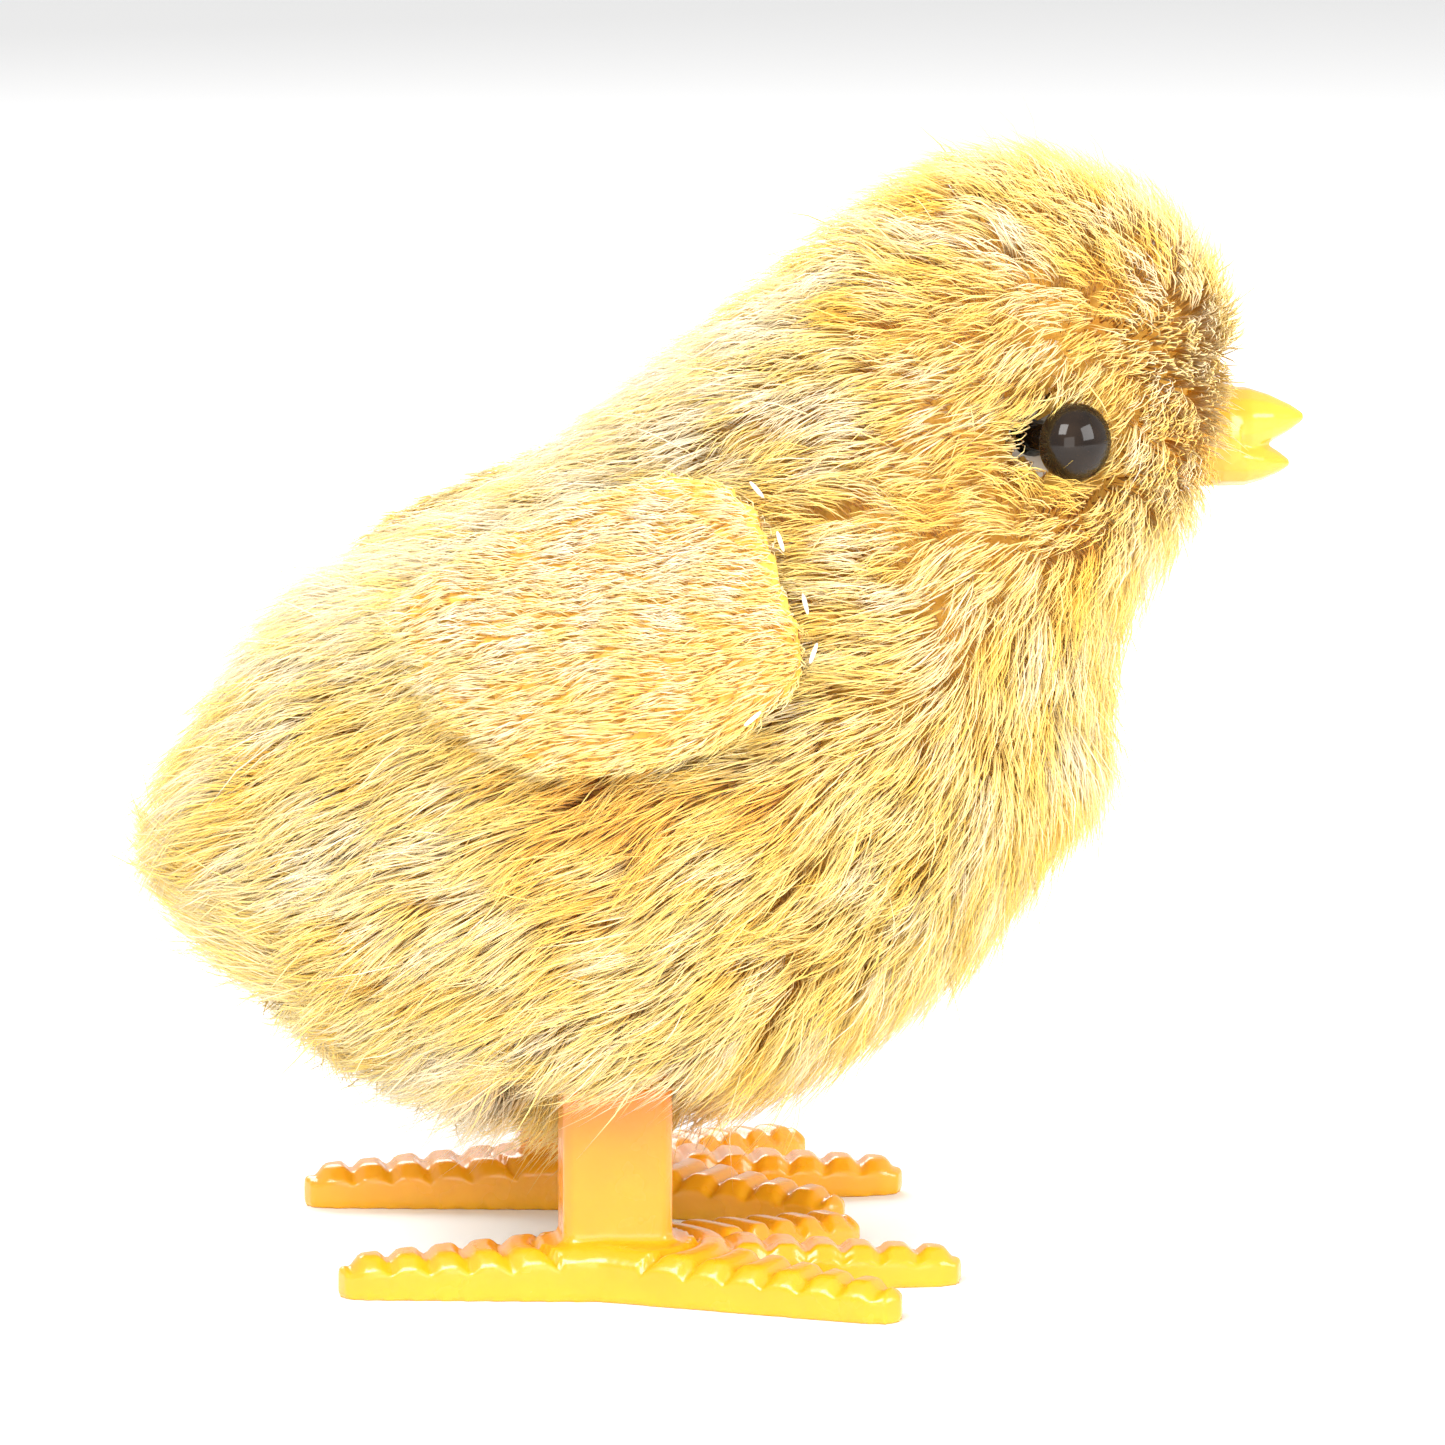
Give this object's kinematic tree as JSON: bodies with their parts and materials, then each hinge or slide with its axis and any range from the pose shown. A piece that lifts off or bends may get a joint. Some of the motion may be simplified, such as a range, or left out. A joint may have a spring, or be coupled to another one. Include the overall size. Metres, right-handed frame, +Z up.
{
  "type": "wind-up hopping chick toy",
  "caption": "Plush chick toy on moulded orange legs, with a knob-wound spring motor that rocks the legs so it hops",
  "frame": {"origin": "centre of the bounding box's underside, on the surface the toy stands on, midway between the two feet", "axes": "+X the way the chick faces, +Y its left side, where the winding knob is, +Z up"},
  "size_m": [0.0772, 0.0558, 0.0738],
  "materials": {
    "plush_skin": "long shaggy pile, pale yellow with deeper golden partings",
    "shell_plastic": "off-white moulded, slight sheen",
    "screw_steel": "zinc-plated self-tapping screw",
    "beak_plastic": "glossy warm yellow moulding",
    "eye_bead": "polished black dome",
    "wing_plush": "short pale yellow pile with a white stitched seam",
    "case_plastic": "off-white moulded",
    "spring_steel": "blued spring strip",
    "shaft_steel": "drawn steel pin",
    "gear_plastic": "natural acetal",
    "knob_plastic": "white moulded, satin",
    "crank_gear_plastic": "blue acetal",
    "leg_plastic": "translucent orange to yellow moulding, glossy"
  },
  "bodies": {
    "body": {"plush_skin": "plush_skin", "body_shell_left": "shell_plastic", "body_shell_right": "shell_plastic", "shell_screw_front": "screw_steel", "shell_screw_rear": "screw_steel", "beak": "beak_plastic", "eye_left": "eye_bead", "eye_right": "eye_bead", "motor_case_left": "case_plastic", "motor_case_right": "case_plastic", "case_screw_top_front": "screw_steel", "case_screw_top_rear": "screw_steel", "case_screw_low_rear": "screw_steel", "mainspring": "spring_steel", "spring_pillar": "shaft_steel"},
    "great": {"great_wheel": "gear_plastic"},
    "arbor": {"spring_arbor": "shaft_steel", "ratchet_wheel": "shaft_steel", "winding_knob": "knob_plastic"},
    "click": {"click": "shaft_steel"},
    "second": {"second_wheel": "gear_plastic"},
    "crank": {"crank_wheel": "crank_gear_plastic", "crank_shaft": "shaft_steel", "crank_disc_left": "gear_plastic", "crank_disc_right": "gear_plastic"},
    "escape": {"escape_wheel": "gear_plastic"},
    "verge": {"verge": "shaft_steel"},
    "legs": {"leg_left": "leg_plastic", "leg_right": "leg_plastic", "hip_axle": "shaft_steel", "axle_cap_left": "case_plastic", "axle_cap_right": "case_plastic"},
    "wing_left": {"wing_left": "wing_plush"},
    "wing_right": {"wing_right": "wing_plush"}
  },
  "joints": [
    {"name": "run", "type": "hinge", "parent": "body", "child": "great", "pos_m": [0.0007, 0, 0.0292], "axis": [0, 1, 0], "range_deg": [0, 1507.5]},
    {"name": "wind", "type": "hinge", "parent": "great", "child": "arbor", "pos_m": [0.0007, 0, 0.0292], "axis": [0, -1, 0], "range_deg": [0, 1530]},
    {"name": "click_lift", "type": "hinge", "parent": "great", "child": "click", "pos_m": [0.00496, 0, 0.03218], "axis": [0, 1, 0], "range_deg": [0, 12], "stiffness_Nm_per_rad": 0.00002},
    {"name": "second_spin", "type": "hinge", "parent": "body", "child": "second", "pos_m": [-0.00456, 0, 0.0365], "axis": [0, 1, 0], "range_deg": [-6100, 60]},
    {"name": "crank_spin", "type": "hinge", "parent": "body", "child": "crank", "pos_m": [-0.0092, 0, 0.031], "axis": [0, 1, 0], "range_deg": [-60, 18150]},
    {"name": "escape_spin", "type": "hinge", "parent": "body", "child": "escape", "pos_m": [-0.01521, 0, 0.02881], "axis": [0, 1, 0], "range_deg": [-54400, 120]},
    {"name": "verge_rock", "type": "hinge", "parent": "body", "child": "verge", "pos_m": [-0.01597, 0, 0.02346], "axis": [0, 1, 0], "range_deg": [-5, 5]},
    {"name": "leg_rock", "type": "hinge", "parent": "body", "child": "legs", "pos_m": [-0.0092, 0, 0.0218], "axis": [0, 1, 0], "range_deg": [-10, 10]},
    {"name": "wing_left_flap", "type": "hinge", "parent": "body", "child": "wing_left", "pos_m": [0.0014, 0.01875, 0.04845], "axis": [0.2237, 0.6833, -0.695], "range_deg": [0, 35], "stiffness_Nm_per_rad": 0.002},
    {"name": "wing_right_flap", "type": "hinge", "parent": "body", "child": "wing_right", "pos_m": [0.0014, -0.01875, 0.04845], "axis": [-0.2237, 0.6833, 0.695], "range_deg": [0, 35], "stiffness_Nm_per_rad": 0.002}
  ],
  "couplings": [
    {"joint": "second_spin", "follows": "run", "ratio": -4},
    {"joint": "crank_spin", "follows": "run", "ratio": 12},
    {"joint": "escape_spin", "follows": "run", "ratio": -36}
  ]
}
